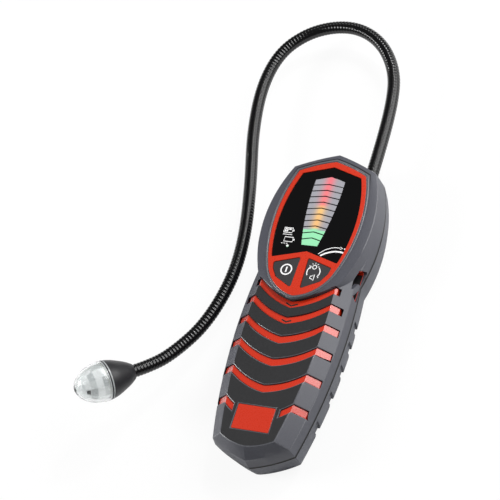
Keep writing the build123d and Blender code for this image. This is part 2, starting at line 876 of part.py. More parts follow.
# Bar lamps, one under each bar, and the lamp under the round window dot
for number in range(bar_count):
    lamp_y = window_top - bar_top_drop - (number + 0.5) * bar_pitch
    with BuildPart() as bar_led:
        with BuildSketch(Plane.XY.offset(board_high)):
            with Locations((0, lamp_y)):
                RectangleRounded(led_size, led_size, led_size / 8)
        extrude(amount=led_height)
    finish(bar_led, f"bar_led_{number + 1:02d}")
with BuildPart() as indicator_led:
    with BuildSketch(Plane.XY.offset(board_high)):
        with Locations(lamp_place):
            RectangleRounded(led_size, led_size, led_size / 8)
    extrude(amount=led_height)
finish(indicator_led, "indicator_led")

# Sounder and control chip under the board
with BuildPart() as buzzer:
    with BuildSketch(Plane.XY.offset(board_low - buzzer_height)):
        with Locations((-buzzer_radius - 3.0, head_y)):
            Circle(buzzer_radius)
    extrude(amount=buzzer_height)
    fillet(buzzer.edges().group_by(Axis.Z)[0], 0.5)
    with BuildSketch(Plane.XY.offset(board_low - buzzer_height)):
        with Locations((-buzzer_radius - 3.0, head_y)):
            Circle(buzzer_radius / 5)
    extrude(amount=buzzer_height / 3, mode=Mode.SUBTRACT)
finish(buzzer, "buzzer")
with BuildPart() as control_chip:
    with BuildSketch(Plane.XY.offset(board_low - chip_height)):
        with Locations((chip_size, head_y - chip_size)):
            RectangleRounded(chip_size, chip_size, 0.4)
    extrude(amount=chip_height)
finish(control_chip, "control_chip")

# Batteries in a row, each with its nub to the other side than its neighbours
cell_z = door_thickness + cell_lift + cell_radius
coil_height = spring_length - 2 * spring_wire
with BuildPart() as coil_form:
    with BuildLine(Plane.XY.offset(spring_wire)):
        coil = Helix(pitch=coil_height / 3, height=coil_height, radius=spring_radius)
    with BuildSketch(Plane(origin=coil @ 0, z_dir=coil % 0)):
        Circle(spring_wire / 2)
    sweep(path=coil, is_frenet=True)
    for ring_low in (0, spring_length - spring_wire * 1.2):
        with BuildSketch(Plane.XY.offset(ring_low)):
            Circle(spring_radius + spring_wire)
            Circle(spring_radius - spring_wire, mode=Mode.SUBTRACT)
        extrude(amount=spring_wire * 1.2)
for number in range(cell_count):
    turned = number % 2 == 1
    low = bay_low + contact_plate + (0.0 if turned else spring_length)
    cell_x = (number - (cell_count - 1) / 2) * cell_spacing
    base_y = low + cell_length if turned else low
    axis_y = -1 if turned else 1
    cell_plane = Plane(origin=(cell_x, base_y, cell_z), x_dir=(1, 0, 0), z_dir=(0, axis_y, 0))
    with BuildPart() as battery:
        with BuildSketch(cell_plane):
            Circle(cell_radius)
        extrude(amount=cell_length - cell_nub)
        fillet(battery.edges(), 0.5)
        with BuildSketch(cell_plane.offset(cell_length - cell_nub)):
            Circle(cell_radius * 0.38)
        extrude(amount=cell_nub)
    finish(battery, f"battery_{number + 1}")
    spring_y = low + cell_length if turned else low - spring_length
    spring_plane = Plane(origin=(cell_x, spring_y, cell_z), x_dir=(1, 0, 0), z_dir=(0, 1, 0))
    with BuildPart() as spring:
        with Locations(spring_plane.location):
            add(coil_form.part)
    finish(spring, f"battery_spring_{number + 1}")

# Contact plates at both ends of the bay
for plate_name, plate_y in (("contact_plate_low", bay_low), ("contact_plate_high", bay_high - contact_plate)):
    with BuildPart() as plate:
        with BuildSketch(Plane.XZ.offset(-plate_y)):
            with Locations((0, (door_thickness + bay_height + cell_lift) / 2)):
                RectangleRounded(2 * bay_half - 1.0, bay_height - door_thickness - cell_lift, 1.0)
        extrude(amount=-contact_plate)
    finish(plate, plate_name)

# Battery door, flush with the back, held by one captive screw through its tab
groove_places = [(0, bay_low + door_groove_pitch * (step + 1)) for step in range(door_groove_count)]
with BuildPart() as battery_door:
    add(bay_box(door_ledge - door_gap, 0, door_thickness - door_gap / 2))
    with BuildSketch(Plane.XY):
        with Locations((0, bay_high + door_ledge)):
            RectangleRounded(
                door_tab_width - 2 * door_gap,
                2 * (door_tab_length - door_gap),
                screw_head_radius,
            )
    extrude(amount=door_thickness - door_gap / 2)
    with BuildSketch(Plane.XY):
        with Locations(groove_places):
            SlotOverall(bay_half, door_groove_width)
    extrude(amount=door_groove_depth, mode=Mode.SUBTRACT)
    add(post([door_screw_place], screw_radius + fit_gap, 0, door_thickness), mode=Mode.SUBTRACT)
    add(post([door_screw_place], screw_head_radius + fit_gap, 0, door_screw_seat), mode=Mode.SUBTRACT)
finish(battery_door, "battery_door")

# Housing screws, one node of six, and the door screw
with BuildPart() as housing_screws:
    add(post(boss_places, screw_head_radius, screw_well, boss_head_z))
    add(post(boss_places, screw_radius, boss_head_z, front_low + boss_radius))
    with BuildSketch(Plane.XY.offset(screw_well)):
        with Locations(boss_places):
            RegularPolygon(screw_radius, 6)
    extrude(amount=screw_head_height / 2, mode=Mode.SUBTRACT)
finish(housing_screws, "housing_screws")
with BuildPart() as door_screw:
    add(post([door_screw_place], screw_head_radius, door_screw_low, door_screw_seat))
    add(post([door_screw_place], screw_radius, door_screw_seat, door_post_high - wall))
    with BuildSketch(Plane.XY.offset(door_screw_low)):
        with Locations(door_screw_place):
            RegularPolygon(screw_radius, 6)
    extrude(amount=screw_head_height / 3, mode=Mode.SUBTRACT)
finish(door_screw, "door_screw")

# Neck route: corner points from the end of the body, the exit and the joints along it
neck_start = Vector(neck_x, neck_low_y, split_z)
route_origin = Vector(neck_x, head_end, split_z)
neck_route = [
    (0, 18, 0),
    (-2.4, 57, 0.9),
    (-9.1, 76.3, 1.3),
    (-21.8, 92.4, 1.8),
    (-38.6, 101.3, 2.3),
    (-56.7, 101.5, 2.3),
    (-74, 94.4, 2.3),
    (-87.8, 79.4, 1.8),
    (-92.3, 54, 1.3),
    (-87.6, 20, 0.8),
    (-77.2, -15.5, 0.3),
    (-68.7, -52.9, -0.2),
    (-67.3, -83.2, -0.5),
    (-74, -114.7, 0.3),
    (-85.6, -136.5, 3.5),
    (-94.3, -150, 9.1),
    (-104.4, -161.1, 17.2),
]
route_points = [neck_start] + [route_origin + Vector(*point) for point in neck_route]
route_radii = []
for before, corner, after in zip(route_points, route_points[1:], route_points[2:]):
    run_in = corner - before
    run_out = after - corner
    turn = math.radians(run_in.get_angle(run_out))
    route_radii.append(0.45 * min(run_in.length, run_out.length) / math.tan(turn / 2))
print("neck radii", [round(radius) for radius in route_radii])
with BuildLine() as neck_line:
    FilletPolyline(*route_points, radius=route_radii)
neck_wire = neck_line.wires()[0]
neck_length = neck_wire.length
print("neck length", round(neck_length, 1))


def neck_stretch(name, begin, end, radius):
    """One stretch of the neck as a plain round bar along the route."""
    path = neck_wire.trim(begin / neck_length, end / neck_length)
    with BuildPart() as stretch:
        with BuildSketch(Plane(origin=path @ 0, z_dir=path % 0)):
            Circle(radius)
        sweep(path=path)
    ideal = math.pi * radius**2 * (end - begin)
    print(name, "volume over ideal", round(stretch.part.volume / ideal, 4))
    finish(stretch, name)


bends = {"root": root_station, "crown": crown_station, "tip": tip_station}
half_flex = flex_length / 2
neck_stretch("neck_base", 0, root_station - half_flex, neck_radius)
neck_stretch("neck_lower", root_station + half_flex, crown_station - half_flex, neck_radius)
neck_stretch("neck_upper", crown_station + half_flex, tip_station - half_flex, neck_radius)
neck_stretch("neck_end", tip_station + half_flex, neck_length, neck_radius)
for bend, station in bends.items():
    neck_stretch(f"neck_flex_{bend}", station - half_flex, station + half_flex - joint_gap, neck_radius)
    pivot = neck_wire @ (station / neck_length)
    run = neck_wire % (station / neck_length)
    print(bend, "pivot", tuple(round(v, 2) for v in pivot), "run", tuple(round(v, 3) for v in run))

# Ferrule that holds the neck between the halves
with BuildPart() as neck_ferrule:
    add(neck_bar(ferrule_radius - joint_gap / 10, 0, ferrule_length - wall / 2 - fit_gap))
    add(neck_bar(neck_radius + joint_gap / 10, 0, ferrule_length), mode=Mode.SUBTRACT)
finish(neck_ferrule, "neck_ferrule")

# Sensor head on the end of the neck: sketches on a plane through its axis, X outwards and Y along it
probe_axis = neck_wire % 1
probe_origin = (neck_wire @ 1) - probe_axis * probe_grip
probe_out = probe_axis.cross(Vector(0, 0, 1)).normalized()
probe_side = Plane(origin=probe_origin, x_dir=probe_out, z_dir=probe_out.cross(probe_axis))
probe_turn = Axis(probe_origin, probe_axis)
print("probe", tuple(round(v, 2) for v in probe_origin), tuple(round(v, 4) for v in probe_axis))
ring_high = probe_length + probe_ring_height
dome_base = ring_high + joint_gap / 10


def turned_piece(name, corners):
    """A turned piece of the sensor head from its half section."""
    with BuildPart() as piece:
        with BuildSketch(probe_side):
            with BuildLine():
                Polyline(corners, close=True)
            make_face()
        revolve(axis=probe_turn)
    finish(piece, name)


def dome_points(shrink_by):
    """Points of the egg-shaped dome section from its rim to near its tip, drawn smaller by shrink_by."""
    points = []
    for angle in (0, 25, 50, dome_stop):
        share = math.radians(angle)
        across = (dome_radius - shrink_by) * math.cos(share)
        along = (dome_length - shrink_by) * math.sin(share)
        points.append((across, dome_base + along))
    return points


rim = probe_rim_radius
neck_bore = neck_radius + joint_gap / 10
with BuildPart() as probe_body:
    with BuildSketch(probe_side):
        with BuildLine():
            Line((neck_bore, 0), (neck_bore + probe_lip, 0))
            ThreePointArc((neck_bore + probe_lip, 0), (rim * 0.76, probe_length * 0.48), (rim, probe_length))
            Line((rim, probe_length), (rim - probe_wall, probe_length))
            ThreePointArc(
                (rim - probe_wall, probe_length),
                (rim * 0.76 - probe_wall, probe_length * 0.62),
                (neck_bore + probe_lip, probe_grip + probe_wall),
            )
            Line((neck_bore + probe_lip, probe_grip + probe_wall), (neck_bore, probe_grip + probe_wall))
            Line((neck_bore, probe_grip + probe_wall), (neck_bore, 0))
        make_face()
    revolve(axis=probe_turn)
finish(probe_body, "probe_body")

turned_piece(
    "probe_ring",
    [
        (rim - probe_wall, probe_length),
        (rim - 0.3, probe_length),
        (rim + 0.1, probe_length + 0.5),
        (rim + 0.1, ring_high - 0.6),
        (rim - 0.1, ring_high),
        (rim - probe_wall, ring_high),
    ],
)
outer_points = dome_points(0)
inner_points = dome_points(dome_wall)
inlet_floor = dome_base + dome_length - inlet_depth
with BuildPart() as probe_dome:
    with BuildSketch(probe_side):
        with BuildLine():
            Spline(outer_points, tangents=[(0, 1), (-1, -0.4)])
            Line(outer_points[-1], (dome_inlet_radius, inlet_floor))
            Line((dome_inlet_radius, inlet_floor), inner_points[-1])
            Spline(inner_points, tangents=[(0, 1), (-1, 0.4)])
            Line(inner_points[0], outer_points[0])
        make_face()
    revolve(axis=probe_turn)
finish(probe_dome, "probe_dome")

# Inside the sensor head: board, white reflector with its lamps, and the gas sensor with its mesh cap
disc = rim - probe_wall - fit_gap
board_seat = probe_length + 0.2
board_top = board_seat + sensor_board_thickness
lamp_plane = Plane(origin=probe_origin + probe_axis * board_top, x_dir=probe_out, z_dir=probe_axis)
turned_piece("sensor_board", [(0, board_seat), (disc, board_seat), (disc, board_top), (0, board_top)])
with BuildPart() as probe_reflector:
    with BuildSketch(lamp_plane):
        Circle(disc - fit_gap)
        Circle(sensor_radius + fit_gap, mode=Mode.SUBTRACT)
        with PolarLocations((disc + sensor_radius) / 2, lamp_count):
            Rectangle(led_size + 2 * fit_gap, led_size + 2 * fit_gap, mode=Mode.SUBTRACT)
    extrude(amount=reflector_thickness)
finish(probe_reflector, "probe_reflector")
with BuildPart() as probe_lamps:
    with BuildSketch(lamp_plane):
        with PolarLocations((disc + sensor_radius) / 2, lamp_count):
            Rectangle(led_size, led_size)
    extrude(amount=led_height)
finish(probe_lamps, "probe_lamps")
turned_piece(
    "gas_sensor",
    [
        (0, board_top),
        (sensor_radius, board_top),
        (sensor_radius, board_top + sensor_height - 0.6),
        (sensor_radius - 0.6, board_top + sensor_height),
        (0, board_top + sensor_height),
    ],
)
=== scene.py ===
import math

import bmesh
import bpy
from mathutils import Matrix, Vector


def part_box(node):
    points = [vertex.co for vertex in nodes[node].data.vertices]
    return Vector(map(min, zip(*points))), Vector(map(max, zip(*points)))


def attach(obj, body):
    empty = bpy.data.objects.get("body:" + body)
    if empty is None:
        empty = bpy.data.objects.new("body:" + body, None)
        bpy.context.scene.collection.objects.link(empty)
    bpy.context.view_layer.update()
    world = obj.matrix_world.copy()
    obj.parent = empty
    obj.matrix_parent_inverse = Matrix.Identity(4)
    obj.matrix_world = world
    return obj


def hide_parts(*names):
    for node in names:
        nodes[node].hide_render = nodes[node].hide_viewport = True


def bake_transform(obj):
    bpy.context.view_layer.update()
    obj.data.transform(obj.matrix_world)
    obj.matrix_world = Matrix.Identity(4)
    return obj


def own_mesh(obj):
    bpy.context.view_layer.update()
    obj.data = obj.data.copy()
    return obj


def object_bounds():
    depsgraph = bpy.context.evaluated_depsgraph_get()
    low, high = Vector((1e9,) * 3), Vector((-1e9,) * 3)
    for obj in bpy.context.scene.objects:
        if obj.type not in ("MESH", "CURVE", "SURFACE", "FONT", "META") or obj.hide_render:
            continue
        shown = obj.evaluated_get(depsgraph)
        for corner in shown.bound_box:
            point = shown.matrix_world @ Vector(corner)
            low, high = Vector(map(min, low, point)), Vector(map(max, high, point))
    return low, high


# A handheld gas leak detector on a pale table: dark grey body with red inlays, black window with
# a lit bar graph, ribbed black neck and a clear-tipped sensor head. Everything is in metres.

MM = 0.001

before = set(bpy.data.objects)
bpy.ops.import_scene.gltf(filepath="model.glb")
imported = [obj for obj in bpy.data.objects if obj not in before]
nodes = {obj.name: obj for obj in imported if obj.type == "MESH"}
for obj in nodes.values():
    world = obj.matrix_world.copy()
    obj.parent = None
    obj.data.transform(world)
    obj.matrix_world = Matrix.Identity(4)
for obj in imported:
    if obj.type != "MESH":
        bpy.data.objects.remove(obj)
cad_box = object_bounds()


# Materials

def linear(code):
    """Linear RGBA of an sRGB hex colour."""
    parts = [int(code[i : i + 2], 16) / 255 for i in (0, 2, 4)]
    return [c / 12.92 if c <= 0.04045 else ((c + 0.055) / 1.055) ** 2.4 for c in parts] + [1.0]


def add_node(tree, kind, settings=None, links=None):
    """Adds a node; settings are its properties or the values of its sockets, links are sockets to join."""
    made = tree.nodes.new(kind)
    for name, value in (settings or {}).items():
        if isinstance(name, int) or name in made.inputs:
            made.inputs[name].default_value = value
        else:
            setattr(made, name, value)
    for name, source in (links or {}).items():
        tree.links.new(source, made.inputs[name])
    return made


def new_material(name):
    """An empty material and its node tree, with the output node."""
    finish = bpy.data.materials.new(name)
    finish.use_nodes = True
    finish.node_tree.nodes.clear()
    out = finish.node_tree.nodes.new("ShaderNodeOutputMaterial")
    return finish, finish.node_tree, out


def moulded(name, code, roughness, grain_mm, grain_height_mm, mottle=0.12, coat=0.0, seam_z=None):
    """Injection-moulded plastic with a spark-eroded grain, with painted shade darkening it near a parting line.
    """
    finish, tree, out = new_material(name)
    place = add_node(tree, "ShaderNodeTexCoord")
    grain = add_node(
        tree,
        "ShaderNodeTexNoise",
        {"Scale": 1 / (grain_mm * MM), "Detail": 3.0, "Roughness": 0.6},
        {"Vector": place.outputs["Object"]},
    )
    drift = add_node(
        tree,
        "ShaderNodeTexNoise",
        {"Scale": 1 / (18 * MM), "Detail": 2.0, "Roughness": 0.5},
        {"Vector": place.outputs["Object"]},
    )
    blend = add_node(
        tree,
        "ShaderNodeMath",
        {"operation": "MULTIPLY_ADD", 1: 0.35},
        {0: drift.outputs["Fac"], 2: grain.outputs["Fac"]},
    )
    tone = add_node(
        tree,
        "ShaderNodeMapRange",
        {"From Min": 0.35, "From Max": 1.0, "To Min": 1 - mottle, "To Max": 1 + mottle},
        {"Value": blend.outputs["Value"]},
    )
    tint = tone.outputs["Result"]
    # Painted shade: the colour goes near black within 0.85 mm of the parting line and fades out by 1.2 mm
    if seam_z is not None:
        axes = add_node(tree, "ShaderNodeSeparateXYZ", None, {"Vector": place.outputs["Object"]})
        away = add_node(
            tree, "ShaderNodeMath", {"operation": "SUBTRACT", 1: seam_z}, {0: axes.outputs["Z"]}
        )
        reach = add_node(tree, "ShaderNodeMath", {"operation": "ABSOLUTE"}, {0: away.outputs["Value"]})
        shade_share = add_node(
            tree,
            "ShaderNodeMapRange",
            {"From Min": 0.85 * MM, "From Max": 1.2 * MM, "To Min": 0.03, "To Max": 1.0},
            {"Value": reach.outputs["Value"]},
        )
        seam_painted_shade = add_node(
            tree,
            "ShaderNodeMath",
            {"operation": "MULTIPLY"},
            {0: tone.outputs["Result"], 1: shade_share.outputs["Result"]},
        )
        tint = seam_painted_shade.outputs["Value"]
    colour = add_node(
        tree,
        "ShaderNodeMix",
        {"data_type": "RGBA", "blend_type": "MULTIPLY", "Factor": 1.0, 6: linear(code)},
        {7: tint},
    )
    shine = add_node(
        tree,
        "ShaderNodeMapRange",
        {"From Min": 0.3, "From Max": 0.8, "To Min": roughness - 0.06, "To Max": roughness + 0.08},
        {"Value": grain.outputs["Fac"]},
    )
    bump = add_node(
        tree,
        "ShaderNodeBump",
        {"Strength": 0.55, "Distance": grain_height_mm * MM},
        {"Height": grain.outputs["Fac"]},
    )
    skin = add_node(
        tree,
        "ShaderNodeBsdfPrincipled",
        {"IOR": 1.5, "Coat Weight": coat, "Coat Roughness": 0.25},
        {"Base Color": colour.outputs[2], "Roughness": shine.outputs["Result"], "Normal": bump.outputs["Normal"]},
    )
    tree.links.new(skin.outputs["BSDF"], out.inputs["Surface"])
    return finish


# ABS with a spark-eroded grain: soft sheen, faint speckle
seam_low, seam_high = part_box("parting_seal")
seam_z = (seam_low.z + seam_high.z) / 2
# Painted shade: the side and rear greys darken near the parting line at seam_z
abs_side_seam_shade = moulded("abs_grey_side_seam_shade", "4A4B53", 0.42, 0.9, 0.09, seam_z=seam_z)
# Copy for the flat top faces: a coarser grain, and a darker grey as painted shade
abs_face_painted_shade = moulded("abs_grey_face_painted_shade", "1C1C1E", 0.55, 0.7, 0.1, mottle=0.3)
abs_rear_seam_shade = moulded("abs_grey_rear_seam_shade", "494B54", 0.42, 0.9, 0.05, seam_z=seam_z)
# The same ABS, lighter and glossier on rounded edges: a painted highlight, a thin lighter line round every form
abs_edge_painted_highlight = moulded("abs_grey_edge_painted_highlight", "5E5F65", 0.3, 0.9, 0.02)
abs_probe = moulded("abs_probe_grey", "1D1D20", 0.42, 0.7, 0.04)
tpe_red = moulded("tpe_orange_red", "C92D0F", 0.3, 0.6, 0.01, mottle=0.025, coat=1.0)
# Black EPDM of the gasket; the same black is painted shade in the parting line's lips, the strap eye, the frame's
# groove and the clip slits
seal_black_and_painted_shade = moulded("epdm_seal_black_and_painted_shade", "0B0B0D", 0.6, 0.8, 0.02)
key_grey = moulded("silicone_key_grey", "333234", 0.45, 0.8, 0.03, mottle=0.1)
pcb_green = moulded("fr4_board_green", "1F5A33", 0.4, 1.2, 0.01)
chip_black = moulded("epoxy_package_black", "1B1B1D", 0.5, 0.8, 0.02)
lamp_white = moulded("led_package_white", "EDEBE2", 0.3, 0.8, 0.01, mottle=0.03)
print_white = moulded("screen_print_white", "F2F2F2", 0.45, 0.6, 0.005, mottle=0.02)
print_grey = moulded("screen_print_grey", "C9CBCE", 0.45, 0.6, 0.005, mottle=0.02)
cell_sleeve = moulded("battery_sleeve_black", "24262B", 0.25, 2.0, 0.01)


def metal(name, code, roughness):
    """Turned or stamped steel with a fine brushed drift."""
    finish, tree, out = new_material(name)
    place = add_node(tree, "ShaderNodeTexCoord")
    lines = add_node(
        tree,
        "ShaderNodeTexNoise",
        {"Scale": 1 / (0.5 * MM), "Detail": 4.0},
        {"Vector": place.outputs["Object"]},
    )
    shine = add_node(
        tree,
        "ShaderNodeMapRange",
        {"To Min": roughness - 0.08, "To Max": roughness + 0.1},
        {"Value": lines.outputs["Fac"]},
    )
    skin = add_node(
        tree,
        "ShaderNodeBsdfPrincipled",
        {"Base Color": linear(code), "Metallic": 1.0},
        {"Roughness": shine.outputs["Result"]},
    )
    tree.links.new(skin.outputs["BSDF"], out.inputs["Surface"])
    return finish


steel = metal("zinc_plated_steel", "B9BBBE", 0.3)


def gloss_black():
    """Acrylic window, printed black behind: mirror gloss with a hint of haze."""
    finish, tree, out = new_material("acrylic_window_black")
    place = add_node(tree, "ShaderNodeTexCoord")
    haze = add_node(
        tree,
        "ShaderNodeTexNoise",
        {"Scale": 1 / (12 * MM), "Detail": 3.0},
        {"Vector": place.outputs["Object"]},
    )
    shine = add_node(
        tree,
        "ShaderNodeMapRange",
        {"To Min": 0.05, "To Max": 0.13},
        {"Value": haze.outputs["Fac"]},
    )
    skin = add_node(
        tree,
        "ShaderNodeBsdfPrincipled",
        {"Base Color": linear("030304"), "IOR": 1.49},
        {"Roughness": shine.outputs["Result"]},
    )
    tree.links.new(skin.outputs["BSDF"], out.inputs["Surface"])
    return finish


window_black = gloss_black()

# Bar graph: top of the first bar, pitch and how many bars show each colour
lens_low, lens_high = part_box("display_lens")
guide_low, guide_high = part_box("bar_light_guide")
bar_pitch = 4.1 * MM
bar_top = 81.0 * MM
green_from = bar_top - 8.25 * bar_pitch
yellow_from = bar_top - 4.25 * bar_pitch


def bar_glow():
    """Diffusing acrylic light guide: green bars low down, amber and red spots above."""
    finish, tree, out = new_material("opal_light_guide")
    place = add_node(tree, "ShaderNodeTexCoord")
    axes = add_node(tree, "ShaderNodeSeparateXYZ", None, {"Vector": place.outputs["Object"]})
    across = add_node(
        tree, "ShaderNodeMath", {"operation": "DIVIDE", 1: 3.1 * MM}, {0: axes.outputs["X"]}
    )
    squared = add_node(
        tree, "ShaderNodeMath", {"operation": "POWER", 1: 2.0}, {0: across.outputs["Value"]}
    )
    spot = add_node(
        tree, "ShaderNodeMath", {"operation": "MULTIPLY", 1: -1.0}, {0: squared.outputs["Value"]}
    )
    peak = add_node(tree, "ShaderNodeMath", {"operation": "EXPONENT"}, {0: spot.outputs["Value"]})
    lit = add_node(
        tree, "ShaderNodeMath", {"operation": "MULTIPLY", 1: 0.7}, {0: peak.outputs["Value"]}
    )
    share = add_node(
        tree,
        "ShaderNodeMapRange",
        {"From Min": bar_top - 11 * bar_pitch, "From Max": bar_top},
        {"Value": axes.outputs["Y"]},
    )
    hues = add_node(tree, "ShaderNodeValToRGB", None, {"Fac": share.outputs["Result"]})
    ramp = hues.color_ramp
    ramp.interpolation = "LINEAR"
    stops = [
        (0.0, "86E3A6"),
        (0.25, "86E3A6"),
        (0.29, "F2B45A"),
        (0.58, "F6BE55"),
        (0.64, "F06A64"),
        (1.0, "EE5A66"),
    ]
    ramp.elements[0].position = stops[0][0]
    ramp.elements[0].color = linear(stops[0][1])
    ramp.elements[1].position = stops[-1][0]
    ramp.elements[1].color = linear(stops[-1][1])
    for position, code in stops[1:-1]:
        ramp.elements.new(position).color = linear(code)
    low_bars = add_node(
        tree,
        "ShaderNodeMapRange",
        {"From Min": green_from, "From Max": green_from - 0.4 * MM, "To Min": 0.0, "To Max": 0.72},
        {"Value": axes.outputs["Y"]},
    )
    amount = add_node(
        tree,
        "ShaderNodeMath",
        {"operation": "MAXIMUM"},
        {0: lit.outputs["Value"], 1: low_bars.outputs["Result"]},
    )
    colour = add_node(
        tree,
        "ShaderNodeMix",
        {"data_type": "RGBA", 6: linear("9C9CA3")},
        {0: amount.outputs["Value"], 7: hues.outputs["Color"]},
    )
    glow = add_node(
        tree,
        "ShaderNodeMath",
        {"operation": "MULTIPLY", 1: 0.2},
        {0: amount.outputs["Value"]},
    )
    skin = add_node(
        tree,
        "ShaderNodeBsdfPrincipled",
        {"Roughness": 0.3, "IOR": 1.49},
        {
            "Base Color": colour.outputs[2],
            "Emission Color": hues.outputs["Color"],
            "Emission Strength": glow.outputs["Value"],
        },
    )
    tree.links.new(skin.outputs["BSDF"], out.inputs["Surface"])
    return finish


opal = bar_glow()


def neck_sleeve():
    """PVC sleeve over a steel coil: black, glossy on the crown of each rib."""
    finish, tree, out = new_material("pvc_sleeve_black")
    place = add_node(tree, "ShaderNodeTexCoord")
    scuff = add_node(
        tree,
        "ShaderNodeTexNoise",
        {"Scale": 1 / (1.5 * MM), "Detail": 3.0},
        {"Vector": place.outputs["Object"]},
    )
    shine = add_node(
        tree,
        "ShaderNodeMapRange",
        {"To Min": 0.06, "To Max": 0.15},
        {"Value": scuff.outputs["Fac"]},
    )
    skin = add_node(
        tree,
        "ShaderNodeBsdfPrincipled",
        {"Base Color": linear("030304"), "IOR": 1.53},
        {"Roughness": shine.outputs["Result"]},
    )
    tree.links.new(skin.outputs["BSDF"], out.inputs["Surface"])
    return finish


sleeve_black = neck_sleeve()


def clear_plastic(name, code, roughness, transmission, glow=0.0):
    """Moulded polycarbonate: clear, with a faint milky haze and, where a glow is given, a painted glow."""
    finish, tree, out = new_material(name)
    place = add_node(tree, "ShaderNodeTexCoord")
    haze = add_node(
        tree,
        "ShaderNodeTexNoise",
        {"Scale": 1 / (3 * MM), "Detail": 2.0},
        {"Vector": place.outputs["Object"]},
    )
    shine = add_node(
        tree,
        "ShaderNodeMapRange",
        {"To Min": roughness, "To Max": roughness + 0.12},
        {"Value": haze.outputs["Fac"]},
    )
    skin = add_node(
        tree,
        "ShaderNodeBsdfPrincipled",
        {
            "Base Color": linear(code),
            "IOR": 1.45,
            "Transmission Weight": transmission,
            "Emission Color": linear("FFFFFF"),
            "Emission Strength": glow,
        },
        {"Roughness": shine.outputs["Result"]},
    )
    tree.links.new(skin.outputs["BSDF"], out.inputs["Surface"])
    return finish


dome_clear = clear_plastic("polycarbonate_clear", "FAFCFC", 0.03, 0.94)
ring_clear = clear_plastic("polycarbonate_ring", "E4E9EA", 0.08, 0.45)
# Painted light: the frosted panes glow, and their three copies differ in painted shade
pane_painted_glow = clear_plastic("polycarbonate_frosted", "F4F6F6", 0.2, 0.25, glow=0.2)
pane_painted_shade = clear_plastic("polycarbonate_frosted_painted_shade", "E6EAEA", 0.2, 0.25, glow=0.14)
pane_painted_dark_shade = clear_plastic("polycarbonate_frosted_painted_dark_shade", "D6DBDC", 0.2, 0.25, glow=0.1)


# Pieces

def shade(work, angle):
    """Smooth shading, crisp at edges sharper than the angle and round the faces of rounded edges."""
    limit = math.radians(angle)
    for f in work.faces:
        f.smooth = True
    for e in work.edges:
        sides = e.link_faces
        e.smooth = len(sides) == 2 and e.calc_face_angle(0) < limit and sides[0].tag == sides[1].tag


def piece(name, work, finishes, body, stands_for=(), angle=30):
    """Turns a bmesh into a shown piece that rides on a body and stands for CAD nodes."""
    mesh = bpy.data.meshes.new(name)
    shade(work, angle)
    work.to_mesh(mesh)
    work.free()
    for finish in finishes:
        mesh.materials.append(finish)
    made = bpy.data.objects.new(name, mesh)
    bpy.context.scene.collection.objects.link(made)
    if body:
        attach(made, body)
    if stands_for:
        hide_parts(*stands_for)
    return made


def cad_copy(node):
    """A merged copy of a CAD node's mesh, its flat facets joined into whole faces."""
    work = bmesh.new()
    work.from_mesh(nodes[node].data)
    bmesh.ops.remove_doubles(work, verts=work.verts, dist=0.001 * MM)
    bmesh.ops.dissolve_limit(
        work,
        angle_limit=math.radians(0.6),
        use_dissolve_boundaries=False,
        verts=work.verts,
        edges=work.edges,
    )
    return work


def round_edges(work, width, sharper_than=24, segments=2, chosen=None):
    """Rounds the edges of a part that are sharper than an angle in degrees, and gives the new faces."""
    limit = math.radians(sharper_than)
    edges = [
        e
        for e in work.edges
        if len(e.link_faces) == 2 and e.calc_face_angle(0) > limit and (chosen is None or chosen(e))
    ]
    made = bmesh.ops.bevel(
        work,
        geom=edges,
        offset=width,
        offset_type="OFFSET",
        affect="EDGES",
        segments=segments,
        profile=0.5,
        material=-1,
        clamp_overlap=False,
    )
    for f in work.faces:
        f.tag = False
    for f in made["faces"]:
        f.tag = True
    return made["faces"]


# Housing: covers with softened edges, painted lighter as a highlight; the flat top faces carry the coarser grain
# and painted shade, and the lips of the parting line and the inside of the strap eye are painted black as shade
eye_low = Vector((22.0, 9.3, 16.9)) * MM
eye_high = Vector((29.4, 31.5, 25.2)) * MM
lip_reach = 0.5 * MM


def in_seam(place):
    """Whether a place is at the lips of the parting line."""
    return seam_low.z - lip_reach < place.z < seam_high.z + lip_reach


def in_eye(place):
    """Whether a place is inside the pocket of the strap eye."""
    return all(eye_low[i] < place[i] < eye_high[i] for i in range(3))


def roundable(edge):
    """Whether an edge of the front cover has room for a wide round: grip, frame pocket and head."""
    ends = [v.co / MM for v in edge.verts]
    return all(c.z > 17.5 and (c.y < -17 or c.z > 32.2 or (c.y > 36 and c.z > 26)) for c in ends)


front = cad_copy("front_cover")
rounded = set(round_edges(front, 0.4 * MM, chosen=roundable))
# Painted light: black shade at the seam's lips and in the strap eye, lighter highlight on the rounds, darker
# shade on flat top faces
for f in front.faces:
    place = f.calc_center_median()
    if in_seam(place) or in_eye(place):
        f.material_index = 3
    elif f in rounded:
        f.material_index = 2
    elif f.normal.z > 0.985 and place.y < 3 * MM:
        f.material_index = 1
piece("housing_front", front, [abs_side_seam_shade, abs_face_painted_shade, abs_edge_painted_highlight, seal_black_and_painted_shade], "housing", ["front_cover"])

rear = cad_copy("rear_cover")
round_edges(rear, 0.3 * MM)
# Painted shade: the rear cover's lips at the parting line are painted black
for f in rear.faces:
    if in_seam(f.calc_center_median()):
        f.material_index = 1
piece("housing_rear", rear, [abs_rear_seam_shade, seal_black_and_painted_shade], "housing", ["rear_cover"])

door = cad_copy("battery_door")
round_edges(door, 0.25 * MM)
piece("battery_cover", door, [abs_rear_seam_shade], "housing", ["battery_door"])

inlay = cad_copy("grip_inlay")
round_edges(inlay, 0.2 * MM)
piece("grip_ribs", inlay, [tpe_red], "housing", ["grip_inlay"])

liner = cad_copy("strap_liner")
# Painted shade: the liner's faces deep inside the eye are painted black
for f in liner.faces:
    place = f.calc_center_median()
    if place.y < 27.5 * MM and not (place.y < 14 * MM and place.z < 19.5 * MM):
        f.material_index = 1
piece("strap_eye_lining", liner, [tpe_red, seal_black_and_painted_shade], "housing", ["strap_liner"])



